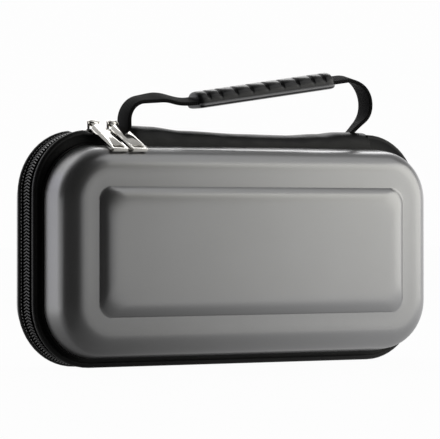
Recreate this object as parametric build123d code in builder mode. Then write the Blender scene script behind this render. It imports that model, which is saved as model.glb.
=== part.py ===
"""
Hard-shell carrying case for a handheld game console.

Two formed foam shells meet in a zipper band that runs round three sides. On the
fourth side a soft spine with a webbing handle joins them, and folds at both of its
edges as the case opens. The case stands on its zipped long edge: X runs along the
case, Y from the front to the back and Z up to the handle. The origin is the middle
of the footprint. All sizes are in millimetres and degrees.
"""

import os
from math import cos, radians, sin, tan

from build123d import *

# Rims: the rounded outline that both shells share, facing each other across the band
rim_width = 247.0
rim_height = 118.0
rim_corner = 30.0
rim_spacing = 24.0
rim_lift = 5.3
shell_wall = 3.6

# Front shell, with its raised panel
front_depth = 22.0
front_draft = 8.0
front_edge_round = 12.0
panel_width = 202.4
panel_height = 71.7
panel_corner = 8.0
panel_rise = 3.3
panel_slope = 40.0
panel_round = 6.5

# Rear shell, shallower and plain
rear_depth = 18.0
rear_draft = 6.0
rear_edge_round = 12.0

# Edge binding round each rim
binding_width = 6.2
binding_stand = 0.8

# Zipper band: a welt, a tape and half of the coil on each side of the zip plane
band_stand = 5.3
band_top_stand = 8.3
welt_width = 3.8
welt_setback = 1.8
welt_chamfer = 1.0
tape_thickness = 1.0
coil_inset = 0.9
coil_half_width = 3.2
coil_chamfer = 0.8
zip_gap = 0.25
low_welt_height = 4.2

# Spine, its two fold lines and the place that it takes up along the top
spine_setback = 6.2
spine_end_setback = 1.5
spine_room = 1.0
fold_reach = 11.8
fold_height = 5.9
upstand_wall = 2.4
spine_edge = 0.8
spine_crown = 2.1
spine_end_crown = 4.6

# Handle: a webbing strap with a moulded grip, its bends measured from its feet and the fold lines
strap_width = 13.0
strap_thickness = 2.2
left_foot_setback = 2.1
right_foot_setback = 9.0
left_leg_lean = -0.4
left_leg_height = 19.3
left_crest_reach = 25.6
left_crest_height = 22.6
grip_dip_reach = 37.5
grip_dip_height = 19.0
right_leg_lean = 16.0
right_leg_height = 37.7
right_bend_lean = 15.8
right_bend_height = 13.8
strap_bends = [9.0, 25.0, 25.0, 15.0, 13.0]
grip_start = 7.7
grip_finish = 27.8
grip_width = 17.0
grip_top = 5.2
grip_bottom = 4.4
grip_shoulder = 1.6
grip_lip_round = 1.6
groove_width = 1.8
groove_depth = 1.0
groove_pitch = 10.6
end_groove_setback = 6.7

# Zipper sliders with their hinged pull tabs, parked nose to nose
slider_setback = 7.2
slider_pitch = 12.4
slider_length = 11.4
slider_width = 9.6
slider_tail_width = 7.6
slider_plate = 1.1
slider_corner = 1.2
slider_room = 0.35
post_length = 1.6
post_width = 2.0
bail_leg = 1.4
bail_depth = 2.6
bail_height = 3.4
pin_diameter = 1.8
pin_room = 0.3
tab_droop = 26.5
tab_length = 35.0
tab_width = 10.4
tab_thickness = 1.6
tab_neck = 9.0
knuckle_width = 4.6
knuckle_diameter = 3.7
slot_width = 6.4
slot_length = 3.2
slot_edge = 1.8

# Inside: a padded page with card pockets, the console's bed and strap, a mesh pocket
page_margin = 12.0
page_thickness = 2.4
neck_margin = 8.0
pocket_columns = 5
pocket_rows = 2
pocket_width = 36.0
pocket_height = 34.0
pocket_spacing = 40.0
pocket_thickness = 1.0
bed_margin = 13.0
bed_thickness = 3.4
console_strap_width = 32.0
console_strap_thickness = 1.2
mesh_height = 76.0
mesh_thickness = 0.8
hem_height = 6.0
hem_thickness = 1.6

# Clearances between pieces
seat_gap = 0.1
soft_gap = 0.3
overlap = 0.5

# Places worked out from the sizes above
FRONT, REAR = -1, 1
front_reach = rim_spacing / 2 + front_depth + panel_rise
rear_reach = rim_spacing / 2 + rear_depth
zip_y = (front_reach - rear_reach) / 2
rim_z = rim_lift + rim_height / 2
rim_top = rim_lift + rim_height
binding_top = rim_top + binding_stand
band_width = rim_width + 2 * band_stand
band_height = rim_top + band_top_stand
band_corner = rim_corner + band_stand
fold_z = rim_top + fold_height
tape_inset = rim_lift - binding_stand - 2 * seat_gap - tape_thickness
welt_far = rim_spacing / 2 - welt_setback
welt_near = welt_far - welt_width
tape_top = band_height - tape_inset
tape_bottom = tape_top - tape_thickness
coil_top = band_height - coil_inset
coil_bottom = tape_top + seat_gap
slider_overhang = slider_length / 2
run_left = rim_corner - rim_width / 2
slider_near_x = run_left + slider_setback
slider_far_x = slider_near_x + slider_pitch
spine_left = slider_far_x + spine_setback
spine_right = rim_width / 2 - rim_corner - spine_end_setback
run_right = spine_right + spine_room
stub_left = run_left + seat_gap
stub_right = spine_left - soft_gap
strap_left_foot = spine_left + left_foot_setback
strap_right_foot = spine_right - right_foot_setback
left_leg_top = (strap_left_foot + left_leg_lean, fold_z + left_leg_height)
left_crest = (strap_left_foot + left_crest_reach, fold_z + left_crest_height)
grip_dip = (strap_left_foot + grip_dip_reach, fold_z + grip_dip_height)
right_leg_top = (strap_right_foot + right_leg_lean, fold_z + right_leg_height)
right_leg_bend = (strap_right_foot + right_bend_lean, fold_z + right_bend_height)
post_near_x = slider_near_x + slider_overhang - post_length / 2
post_far_x = slider_far_x - slider_overhang + post_length / 2
bail_base = coil_top + slider_room + slider_plate
pin_z = bail_base + bail_height


def half_plane(side, distance, z):
    """Sketch plane at a distance from the zip plane, facing outwards on that side."""
    return Plane(origin=(0, zip_y + side * distance, z), x_dir=(1, 0, 0), z_dir=(0, side, 0))


def rim_outline(grow, mode=Mode.ADD):
    """Outline of the rims, grown or shrunk all round."""
    RectangleRounded(rim_width + 2 * grow, rim_height + 2 * grow, rim_corner + grow, mode=mode)


def band_outline(inset, mode=Mode.ADD):
    """Outline of the zipper band, shrunk all round."""
    RectangleRounded(band_width - 2 * inset, band_height - 2 * inset, band_corner - inset, mode=mode)


def block(x0, x1, y0, y1, z0, z1, mode=Mode.ADD):
    """Box between two corners, with y measured from the zip plane."""
    with Locations(((x0 + x1) / 2, zip_y + (y0 + y1) / 2, (z0 + z1) / 2)):
        Box(x1 - x0, abs(y1 - y0), z1 - z0, mode=mode)


def side_block(side, x0, x1, near, far, z0, z1, mode=Mode.ADD):
    """Box on one side of the zip plane, from near to far of it."""
    block(x0, x1, side * near, side * far, z0, z1, mode=mode)


def outer_face(form, side):
    """The face that lies furthest from the zip plane."""
    return form.faces().sort_by(Axis((0, 0, 0), (0, side, 0)))[-1]


# Shells
def shell_form(side, depth, draft, edge_round, inset):
    """Drafted dish over the rim outline, as the outside (inset 0) or the inside of a shell."""
    with BuildPart() as form:
        with BuildSketch(half_plane(side, rim_spacing / 2, rim_z)):
            rim_outline(-inset)
        extrude(amount=depth - inset, taper=draft)
        fillet(outer_face(form, side).edges(), edge_round - inset)
    return form.part


def panel_form(inset):
    """Raised panel on the front face, with sloping sides and a soft upper edge."""
    shrink = inset * tan(radians((90 - panel_slope) / 2))
    with BuildPart() as form:
        with BuildSketch(half_plane(FRONT, rim_spacing / 2 + front_depth - inset, rim_z)):
            RectangleRounded(panel_width - 2 * shrink, panel_height - 2 * shrink, panel_corner - shrink)
        extrude(amount=panel_rise, taper=panel_slope)
        fillet(outer_face(form, FRONT).edges(), panel_round - inset)
    return form.part


with BuildPart() as front_shell:
    add(shell_form(FRONT, front_depth, front_draft, front_edge_round, 0))
    add(panel_form(0))
    add(shell_form(FRONT, front_depth, front_draft, front_edge_round, shell_wall), mode=Mode.SUBTRACT)
    add(panel_form(shell_wall), mode=Mode.SUBTRACT)

with BuildPart() as rear_shell:
    add(shell_form(REAR, rear_depth, rear_draft, rear_edge_round, 0))
    add(shell_form(REAR, rear_depth, rear_draft, rear_edge_round, shell_wall), mode=Mode.SUBTRACT)


# Edge bindings, which stand up along the spine to its fold lines
def binding(side):
    """Bound edge behind one rim."""
    with BuildPart() as ring:
        with BuildSketch(half_plane(side, rim_spacing / 2 - binding_width, rim_z)):
            rim_outline(binding_stand)
            rim_outline(-shell_wall, mode=Mode.SUBTRACT)
        extrude(amount=binding_width)
        upstand_top = fold_z - soft_gap
        side_block(side, spine_left, spine_right, fold_reach - upstand_wall, fold_reach, rim_top, upstand_top)
    return ring.part


with BuildPart() as front_binding:
    add(binding(FRONT))

with BuildPart() as rear_binding:
    add(binding(REAR))


# Welts: piping on both sides of the zipper, pressed flat beside the sliders
def open_top(side):
    """Clears the top of a ring between the sliders and the spine's right end."""
    side_block(side, run_left, run_right, 0, rim_spacing, rim_top, band_height + overlap, mode=Mode.SUBTRACT)


def welt(side):
    """Welt round the ends and the bottom, with a low one up to the spine's left end."""
    low_welt_bottom = binding_top + seat_gap
    with BuildPart() as run:
        with BuildSketch(half_plane(side, welt_near, band_height / 2)):
            band_outline(0)
        extrude(amount=welt_width)
        chamfer(run.faces().filter_by(Axis.Y).edges(), welt_chamfer)
        with BuildSketch(half_plane(side, welt_near, rim_z)):
            rim_outline(binding_stand + seat_gap)
        extrude(amount=welt_width, mode=Mode.SUBTRACT)
        open_top(side)
        side_block(
            side, stub_left, stub_right, welt_near, welt_far,
            low_welt_bottom, low_welt_bottom + low_welt_height,
        )
    return run.part


with BuildPart() as front_welt:
    add(welt(FRONT))

with BuildPart() as rear_welt:
    add(welt(REAR))


# Zipper tapes, joined into one stretch under the sliders
def tape_run(side):
    """Tape round the ends and the bottom."""
    with BuildPart() as run:
        with BuildSketch(half_plane(side, zip_gap, band_height / 2)):
            band_outline(tape_inset)
            band_outline(tape_inset + tape_thickness, mode=Mode.SUBTRACT)
        extrude(amount=welt_near - seat_gap - zip_gap)
        open_top(side)
    return run.part


with BuildPart() as front_zip_tape:
    add(tape_run(FRONT))
    block(stub_left, stub_right, -welt_near + seat_gap, welt_near - soft_gap, tape_bottom, tape_top)
    block(
        post_near_x - post_length / 2 - soft_gap, post_far_x + post_length / 2 + soft_gap,
        -post_width / 2 - soft_gap, post_width / 2 + soft_gap, tape_bottom, tape_top, mode=Mode.SUBTRACT,
    )

with BuildPart() as rear_zip_tape:
    add(tape_run(REAR))
    side_block(REAR, run_left - soft_gap, run_left, 0, welt_near, rim_top, band_height, mode=Mode.SUBTRACT)


# Coil of the zipper, as the bead that its turns fill
def coil_run(side):
    """Half of the coil, round the ends and the bottom."""
    with BuildPart() as run:
        with BuildSketch(half_plane(side, zip_gap, band_height / 2)):
            band_outline(coil_inset)
        extrude(amount=coil_half_width - zip_gap)
        chamfer(run.faces().filter_by(Axis.Y).edges(), coil_chamfer)
        with BuildSketch(half_plane(side, zip_gap, band_height / 2)):
            band_outline(tape_inset - seat_gap)
        extrude(amount=coil_half_width - zip_gap, mode=Mode.SUBTRACT)
        open_top(side)
    return run.part


with BuildPart() as front_coil:
    add(coil_run(FRONT))
    block(stub_left, post_near_x - post_length, -coil_half_width, coil_half_width, coil_bottom, coil_top)
    block(post_far_x + post_length, stub_right, -coil_half_width, coil_half_width, coil_bottom, coil_top)

with BuildPart() as rear_coil:
    add(coil_run(REAR))
    block(run_left - soft_gap, run_left, 0, rim_spacing, rim_top, band_height, mode=Mode.SUBTRACT)


# Sliders: two plates joined by a post at the nose, with a bail that holds the pull tab's pin
def slider(x, nose):
    """Slider on the closed chain at x, with its nose towards +X (1) or -X (-1)."""
    tail = -nose
    channel_width = 2 * (coil_half_width + slider_room)
    lower_top = tape_bottom - slider_room
    flange_bottom = tape_top + slider_room
    plate_bottom = coil_top + slider_room
    leg_inside = knuckle_width / 2 + pin_room
    leg_outside = leg_inside + bail_leg
    with BuildPart() as body:
        with BuildSketch(Plane.XY.offset(lower_top - slider_plate)) as plan:
            with BuildLine():
                Polyline(
                    (x + nose * slider_overhang, zip_y - slider_width / 2),
                    (x + nose * slider_overhang, zip_y + slider_width / 2),
                    (x + tail * slider_overhang, zip_y + slider_tail_width / 2 + slider_room),
                    (x + tail * slider_overhang, zip_y - slider_tail_width / 2 - slider_room),
                    close=True,
                )
            make_face()
            fillet(plan.vertices(), slider_corner)
        extrude(amount=bail_base - lower_top + slider_plate)
        block(
            x - slider_length, x + slider_length, -channel_width / 2, channel_width / 2,
            lower_top, plate_bottom, mode=Mode.SUBTRACT,
        )
        block(
            x - slider_length, x + slider_length, -slider_width, slider_width,
            lower_top, flange_bottom, mode=Mode.SUBTRACT,
        )
        post_x = x + nose * (slider_overhang - post_length / 2)
        block(
            post_x - post_length / 2, post_x + post_length / 2, -post_width / 2, post_width / 2,
            lower_top, plate_bottom,
        )
        for hand in (-1, 1):
            leg_x = x + hand * (leg_inside + leg_outside) / 2
            block(
                leg_x - bail_leg / 2, leg_x + bail_leg / 2, -bail_depth / 2, bail_depth / 2,
                bail_base, pin_z,
            )
            with Locations((leg_x, zip_y, pin_z)):
                Cylinder(bail_depth / 2, bail_leg, rotation=(0, 90, 0))
        with Locations((x, zip_y, pin_z)):
            Cylinder(pin_diameter / 2, 2 * leg_outside, rotation=(0, 90, 0))
    return body.part


with BuildPart() as slider_near:
    add(slider(slider_near_x, 1))

with BuildPart() as slider_far:
    add(slider(slider_far_x, -1))


# Pull tabs, drooping from their pins over the front shell
def pull_tab(x):
    """Flat tab with a knuckle round the slider's pin and a slot near its free end."""
    tilt = radians(tab_droop)
    tab_plane = Plane(origin=(x, zip_y, pin_z), x_dir=(1, 0, 0), z_dir=(0, -sin(tilt), cos(tilt)))
    with BuildPart() as tab:
        with BuildSketch(tab_plane) as outline:
            with BuildLine():
                Polyline(
                    (-knuckle_width / 2, 0),
                    (knuckle_width / 2, 0),
                    (knuckle_width / 2, -tab_neck / 2),
                    (tab_width / 2, -tab_neck),
                    (tab_width / 2, -tab_length),
                    (-tab_width / 2, -tab_length),
                    (-tab_width / 2, -tab_neck),
                    (-knuckle_width / 2, -tab_neck / 2),
                    close=True,
                )
            make_face()
            fillet(outline.vertices().sort_by(Axis.Y)[:2], slider_corner)
            with Locations((0, -tab_length + slot_edge + slot_length / 2)):
                RectangleRounded(slot_width, slot_length, slot_length / 3, mode=Mode.SUBTRACT)
        extrude(amount=tab_thickness / 2, both=True)
        with Locations((x, zip_y, pin_z)):
            Cylinder(knuckle_diameter / 2, knuckle_width, rotation=(0, 90, 0))
            Cylinder(pin_diameter / 2 + pin_room, knuckle_width, rotation=(0, 90, 0), mode=Mode.SUBTRACT)
    return tab.part


with BuildPart() as pull_tab_near:
    add(pull_tab(slider_near_x))

with BuildPart() as pull_tab_far:
    add(pull_tab(slider_far_x))


# Handle strap: one ribbon from foot to foot
def strap_ribbon(room):
    """The strap with room all round it, its feet reaching through the spine."""
    foot_z = fold_z - strap_thickness
    with BuildPart() as ribbon:
        with BuildSketch(Plane.XZ.offset(-zip_y)):
            with BuildLine():
                FilletPolyline(
                    (strap_left_foot, foot_z),
                    left_leg_top,
                    left_crest,
                    grip_dip,
                    right_leg_top,
                    right_leg_bend,
                    (strap_right_foot, foot_z),
                    radius=strap_bends,
                )
            trace(line_width=strap_thickness + 2 * room)
        extrude(amount=strap_width / 2 + room, both=True)
    return ribbon.part


with BuildPart() as handle_strap:
    add(strap_ribbon(0))
    block(
        -rim_width, rim_width, -strap_width, strap_width,
        rim_top, fold_z + seat_gap, mode=Mode.SUBTRACT,
    )

# Grip: a moulded sleeve on the strap's straight stretch, with ribs across its top
straight_run = Vector(right_leg_top[0] - grip_dip[0], 0, right_leg_top[1] - grip_dip[1])
grip_length = straight_run.length - grip_start - grip_finish
grip_run = straight_run.normalized()
grip_centre = Vector(grip_dip[0], zip_y, grip_dip[1]) + grip_run * (grip_start + grip_length / 2)
grip_plane = Plane(origin=grip_centre, x_dir=(0, 1, 0), z_dir=grip_run)
end_groove = grip_length / 2 - end_groove_setback
inner_grooves = int(end_groove / groove_pitch)
groove_places = [number * groove_pitch for number in range(-inner_grooves, inner_grooves + 1)]


def grip_section(inset, mode=Mode.ADD):
    """Cross-section of the grip, flat underneath and arched on top, with the arch shrunk by an inset."""
    half = grip_width / 2 - inset
    with BuildLine() as edge:
        Polyline((half, -grip_shoulder), (half, -grip_bottom), (-half, -grip_bottom), (-half, -grip_shoulder))
        ThreePointArc((-half, -grip_shoulder), (0, grip_top - inset), (half, -grip_shoulder))
    make_face(edge.edges(), mode=mode)


with BuildPart() as grip_sleeve:
    with BuildSketch(grip_plane) as section:
        grip_section(0)
        fillet(section.vertices().sort_by(Axis.Y)[:2], grip_lip_round)
    extrude(amount=grip_length / 2, both=True)
    for along in [-end_groove, *groove_places, end_groove]:
        with BuildSketch(grip_plane.offset(along)):
            with Locations((0, -grip_shoulder)):
                Rectangle(2 * grip_width, 2 * grip_width, align=(Align.CENTER, Align.MIN))
            grip_section(groove_depth, mode=Mode.SUBTRACT)
        extrude(amount=groove_width / 2, both=True, mode=Mode.SUBTRACT)
    with BuildSketch(grip_plane):
        Rectangle(strap_width + 2 * soft_gap, strap_thickness + 2 * soft_gap)
    extrude(amount=grip_length, both=True, mode=Mode.SUBTRACT)


# Spine: a padded strip that sags between its ends, slit for the feet of the strap
with BuildPart() as spine_strip:
    spine_half = fold_reach - soft_gap
    spine_middle = (spine_left + spine_right) / 2
    crowns = {spine_left: spine_end_crown, spine_middle: spine_crown, spine_right: spine_end_crown}
    for x, crown in crowns.items():
        with BuildSketch(Plane(origin=(x, zip_y, fold_z), x_dir=(0, 1, 0), z_dir=(1, 0, 0))):
            with BuildLine():
                Polyline(
                    (-spine_half, spine_edge), (-spine_half, 0), (spine_half, 0), (spine_half, spine_edge)
                )
                ThreePointArc((spine_half, spine_edge), (0, crown), (-spine_half, spine_edge))
            make_face()
    loft()
    add(strap_ribbon(seat_gap), mode=Mode.SUBTRACT)

# Padded page that hangs from the spine between the two shells
with BuildPart() as divider_page:
    with BuildSketch(half_plane(REAR, -page_thickness / 2, rim_z)):
        rim_outline(-page_margin)
    extrude(amount=page_thickness)
    block(
        spine_left + neck_margin, spine_right - neck_margin, -page_thickness / 2, page_thickness / 2,
        rim_top - page_margin - overlap, fold_z,
    )


def card_pockets(side):
    """Rows of card pockets on one face of the page."""
    with BuildPart() as pockets:
        with BuildSketch(half_plane(side, page_thickness / 2, rim_z)):
            with GridLocations(pocket_spacing, pocket_spacing, pocket_columns, pocket_rows):
                Rectangle(pocket_width, pocket_height)
        extrude(amount=pocket_thickness)
    return pockets.part


with BuildPart() as front_card_pockets:
    add(card_pockets(FRONT))

with BuildPart() as rear_card_pockets:
    add(card_pockets(REAR))

# Console's padded bed on the floor of the rear shell
with BuildPart() as console_bed:
    bed_floor = rear_reach - shell_wall - seat_gap
    with BuildSketch(half_plane(REAR, bed_floor - bed_thickness, rim_z)):
        rim_outline(-shell_wall - bed_margin)
    extrude(amount=bed_thickness)

# Elastic strap across the console, held by the rear binding
band_middle = rim_spacing / 2 - binding_width / 2
inner_bottom = rim_lift + shell_wall + soft_gap
inner_top = rim_top - shell_wall - soft_gap
with BuildPart() as console_strap:
    side_block(
        REAR, -console_strap_width / 2, console_strap_width / 2,
        band_middle - console_strap_thickness / 2, band_middle + console_strap_thickness / 2,
        inner_bottom, inner_top,
    )

# Mesh pocket in the front shell, held by the front binding, with an elastic hem
mesh_top = inner_bottom + mesh_height
with BuildPart() as mesh_pocket:
    with BuildSketch(half_plane(FRONT, band_middle - mesh_thickness / 2, rim_z)):
        rim_outline(-shell_wall - soft_gap)
    extrude(amount=mesh_thickness)
    side_block(
        FRONT, -rim_width, rim_width, 0, rim_spacing, mesh_top, band_height, mode=Mode.SUBTRACT
    )

with BuildPart() as pocket_hem:
    hem_half = rim_width / 2 - shell_wall - soft_gap
    side_block(
        FRONT, -hem_half, hem_half,
        band_middle - hem_thickness / 2, band_middle + hem_thickness / 2,
        mesh_top, mesh_top + hem_height,
    )

pieces = {
    "front_shell": front_shell,
    "front_binding": front_binding,
    "front_welt": front_welt,
    "front_zip_tape": front_zip_tape,
    "front_coil": front_coil,
    "mesh_pocket": mesh_pocket,
    "pocket_hem": pocket_hem,
    "slider_near": slider_near,
    "slider_far": slider_far,
    "pull_tab_near": pull_tab_near,
    "pull_tab_far": pull_tab_far,
    "rear_shell": rear_shell,
    "rear_binding": rear_binding,
    "rear_welt": rear_welt,
    "rear_zip_tape": rear_zip_tape,
    "rear_coil": rear_coil,
    "console_bed": console_bed,
    "console_strap": console_strap,
    "spine_strip": spine_strip,
    "handle_strap": handle_strap,
    "grip_sleeve": grip_sleeve,
    "divider_page": divider_page,
    "front_card_pockets": front_card_pockets,
    "rear_card_pockets": rear_card_pockets,
}
os.makedirs("parts", exist_ok=True)
for name, piece in pieces.items():
    piece.part.label = name
    export_step(piece.part, f"parts/{name}.step")
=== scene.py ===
# %% [markdown]
# # A hard-shell case for a handheld console
# This lesson dresses a imported CAD model of a zipped carrying case. The CAD model gives the
# places: every piece here is built in metres, in the same frame, and every piece but the two
# halves of the spine rides on a CAD body so that it moves when the lid opens. The shapes come
# from bmesh operators, and the finishes from shader nodes, with no pictures.

# %% Load the frame
import math

import bmesh
import bpy
from mathutils import Matrix, Vector, noise


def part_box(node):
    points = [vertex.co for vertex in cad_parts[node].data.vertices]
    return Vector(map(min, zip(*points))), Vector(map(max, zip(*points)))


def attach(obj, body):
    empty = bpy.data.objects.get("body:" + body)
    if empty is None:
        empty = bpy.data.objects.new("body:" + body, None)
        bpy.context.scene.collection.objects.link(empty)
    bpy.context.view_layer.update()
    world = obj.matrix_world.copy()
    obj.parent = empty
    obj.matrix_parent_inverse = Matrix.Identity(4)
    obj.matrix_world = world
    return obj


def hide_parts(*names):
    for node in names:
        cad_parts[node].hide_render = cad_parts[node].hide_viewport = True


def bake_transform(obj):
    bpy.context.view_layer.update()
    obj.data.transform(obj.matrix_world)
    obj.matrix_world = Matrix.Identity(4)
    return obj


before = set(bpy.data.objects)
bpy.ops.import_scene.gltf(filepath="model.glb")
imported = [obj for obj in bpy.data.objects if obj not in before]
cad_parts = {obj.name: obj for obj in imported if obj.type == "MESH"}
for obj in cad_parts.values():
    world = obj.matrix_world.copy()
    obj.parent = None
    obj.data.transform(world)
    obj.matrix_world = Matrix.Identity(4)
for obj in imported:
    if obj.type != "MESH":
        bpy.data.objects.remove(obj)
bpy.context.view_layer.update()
MM = 0.001

# %% [markdown]
# ## Main sizes
# The two shells face each other across the zipper band. Their rims, and the plane half-way
# between them where the zipper closes, are read from the CAD nodes, so the dressing can't
# drift away from the model. Radii and drafts can't be read from a box, so they are named here.

# %% Main sizes
front_low, front_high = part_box("front_shell")
rear_low, rear_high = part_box("rear_shell")
band_low, band_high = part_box("rear_welt")
spine_low, spine_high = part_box("spine_strip")
zip_y = (front_high.y + rear_low.y) / 2
rim_reach = (rear_low.y - front_high.y) / 2
rim_width = front_high.x - front_low.x
rim_height = front_high.z - front_low.z
rim_z = (front_low.z + front_high.z) / 2
rim_corner = 30 * MM
shell_wall = 3.6 * MM
band_width = band_high.x - band_low.x
band_height = band_high.z - band_low.z
band_z = (band_low.z + band_high.z) / 2
band_corner = 35.3 * MM
FRONT, REAR = -1, 1
print(f"rims {rim_width / MM:.1f} by {rim_height / MM:.1f} mm, {2 * rim_reach / MM:.1f} mm apart")

# %% [markdown]
# ## Node and colour helpers
# Colours are written as hex values, the way a colour picker shows them. Shaders work in
# linear light, so one function converts them. A second small function adds a node, sets it
# up and links it, which keeps each material short enough to read.

# %% Node and colour helpers
def linear(hex_colour):
    """Linear RGBA of an sRGB hex colour."""
    channels = [int(hex_colour[i:i + 2], 16) / 255 for i in (1, 3, 5)]
    return [c / 12.92 if c <= 0.04045 else ((c + 0.055) / 1.055) ** 2.4 for c in channels] + [1.0]


def add_node(tree, kind, inputs, **settings):
    """New node with its settings. An input is a value, or an output socket to link."""
    node = tree.nodes.new(kind)
    for name, value in settings.items():
        setattr(node, name, value)
    for name, value in inputs.items():
        if isinstance(value, bpy.types.NodeSocket):
            tree.links.new(value, node.inputs[name])
        else:
            node.inputs[name].default_value = value
    return node


def new_material(name, **surface):
    """Material with a Principled surface. Returns it, its node tree and its shader."""
    material = bpy.data.materials.new(name)
    material.use_nodes = True
    tree = material.node_tree
    shader = tree.nodes["Principled BSDF"]
    for socket, value in surface.items():
        shader.inputs[socket.replace("_", " ")].default_value = value
    return material, tree, shader


def add_bump(tree, shader, height, distance, strength=1.0):
    """Bump from a height between 0 and 1, where distance is the real depth."""
    bump = add_node(tree, "ShaderNodeBump", {"Height": height, "Distance": distance, "Strength": strength})
    tree.links.new(bump.outputs["Normal"], shader.inputs["Normal"])


print("colour of a mid grey, linear:", [round(c, 3) for c in linear("#808080")[:3]])

# %% [markdown]
# ## Pearl-grey PU leather
# The shells are foam covered with polyurethane leather and pressed in a hot mould. Pearl
# pigment in the skin makes it behave a little like metal: it is bright where it mirrors a
# light and dark where it mirrors shade. So the shader is mostly metallic and quite rough.
# The grain is 0.4 mm wide on the real skin, too fine to show, so it is drawn 0.8 mm wide.

# %% Pearl-grey PU leather
pearl_grain = 0.8 * MM
pearl_pu, tree, shader = new_material("pearl_grey_pu_leather", Metallic=0.95, IOR=1.5)
place = add_node(tree, "ShaderNodeTexCoord", {}).outputs["Object"]
grain = add_node(tree, "ShaderNodeTexVoronoi", {"Vector": place, "Scale": 1 / pearl_grain})
clouds = add_node(tree, "ShaderNodeTexNoise", {"Vector": place, "Scale": 1 / (60 * MM), "Detail": 2.0})
tone = add_node(tree, "ShaderNodeMix", {
    "Factor": clouds.outputs["Fac"], "A": linear("#a2a2a2"), "B": linear("#a9a9aa")}, data_type="RGBA")
gloss = add_node(tree, "ShaderNodeMapRange", {
    "Value": grain.outputs["Distance"], "To Min": 0.27, "To Max": 0.33})
tree.links.new(tone.outputs["Result"], shader.inputs["Base Color"])
tree.links.new(gloss.outputs["Result"], shader.inputs["Roughness"])
add_bump(tree, shader, grain.outputs["Distance"], 0.01 * MM, 0.5)
print("made", pearl_pu.name)

# %% [markdown]
# ## Black PU cloth
# The spine and the edge bindings are a thinner, softer PU cloth. Its grain is pebbled, about
# 1 mm, and it has the soft shine of a rubbed coat.

# %% Black PU cloth
black_grain = 1.0 * MM
black_pu, tree, shader = new_material("black_pu_cloth", IOR=1.5)
shader.inputs["Specular IOR Level"].default_value = 0.36
place = add_node(tree, "ShaderNodeTexCoord", {}).outputs["Object"]
grain = add_node(tree, "ShaderNodeTexVoronoi", {"Vector": place, "Scale": 1 / black_grain})
rub_and_highlight = add_node(tree, "ShaderNodeTexNoise", {"Vector": place, "Scale": 1 / (14 * MM), "Detail": 4.0})
tone = add_node(tree, "ShaderNodeMix", {
    "Factor": rub_and_highlight.outputs["Fac"], "A": linear("#080808"), "B": linear("#101010")}, data_type="RGBA")
gloss = add_node(tree, "ShaderNodeMapRange", {
    "Value": rub_and_highlight.outputs["Fac"], "To Min": 0.36, "To Max": 0.56})
tree.links.new(tone.outputs["Result"], shader.inputs["Base Color"])
tree.links.new(gloss.outputs["Result"], shader.inputs["Roughness"])
add_bump(tree, shader, grain.outputs["Distance"], 0.05 * MM, 0.5)
print("made", black_pu.name)

# %% [markdown]
# ## Woven black cloths
# The zipper tape is a polyester twill: diagonal ribs, here 1 mm apart. The handle is ribbed
# webbing. Its ribs run across the strap, so they follow a UV map that holds the distance
# along the strap, and not a place in space. The crests of the webbing's ribs are painted paler
# and its valleys darker, which is painted light and shade. A little sheen stands for the loose
# fibres.

# %% Zipper tape
twill_rib = 1.0 * MM
tape_twill, tree, shader = new_material("polyester_twill_tape", Roughness=0.8, IOR=1.45)
shader.inputs["Base Color"].default_value = linear("#0b0b0b")
shader.inputs["Sheen Weight"].default_value = 0.05
place = add_node(tree, "ShaderNodeTexCoord", {}).outputs["Object"]
ribs = add_node(tree, "ShaderNodeTexWave", {
    "Vector": place, "Scale": 1 / (2 * math.pi * twill_rib), "Distortion": 0.6}, bands_direction="DIAGONAL")
add_bump(tree, shader, ribs.outputs["Fac"], 0.12 * MM, 0.7)
print("made", tape_twill.name)

# %% Ribbed webbing
webbing_rib = 1.3 * MM
webbing_column = 1.6 * MM
webbing, tree, shader = new_material("polyester_webbing", IOR=1.45)
shader.inputs["Specular IOR Level"].default_value = 0.15
shader.inputs["Sheen Weight"].default_value = 0.08
run = add_node(tree, "ShaderNodeUVMap", {}, uv_map="weave").outputs["UV"]
axes = add_node(tree, "ShaderNodeSeparateXYZ", {"Vector": run})
columns = add_node(tree, "ShaderNodeMath", {0: axes.outputs["Y"], 1: webbing_column}, operation="DIVIDE")
shifted = add_node(tree, "ShaderNodeMath", {0: columns.outputs[0]}, operation="FLOOR")
half_step = add_node(tree, "ShaderNodeMath", {
    0: shifted.outputs[0], 1: webbing_rib / 2}, operation="MULTIPLY")
along = add_node(tree, "ShaderNodeMath", {0: axes.outputs["X"], 1: half_step.outputs[0]}, operation="ADD")
turns = add_node(tree, "ShaderNodeMath", {
    0: along.outputs[0], 1: 2 * math.pi / webbing_rib}, operation="MULTIPLY")
wave = add_node(tree, "ShaderNodeMath", {0: turns.outputs[0]}, operation="SINE")
height = add_node(tree, "ShaderNodeMapRange", {"Value": wave.outputs[0], "From Min": -1.0, "From Max": 1.0})
# Painted light and shade: the rib crests are paler and the valleys darker.
tone = add_node(tree, "ShaderNodeMix", {
    "Factor": height.outputs["Result"], "A": linear("#020202"), "B": linear("#202020")}, data_type="RGBA")
tree.links.new(tone.outputs["Result"], shader.inputs["Base Color"])
shader.inputs["Roughness"].default_value = 0.8
add_bump(tree, shader, height.outputs["Result"], 0.25 * MM, 0.9)
print("made", webbing.name)
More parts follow.
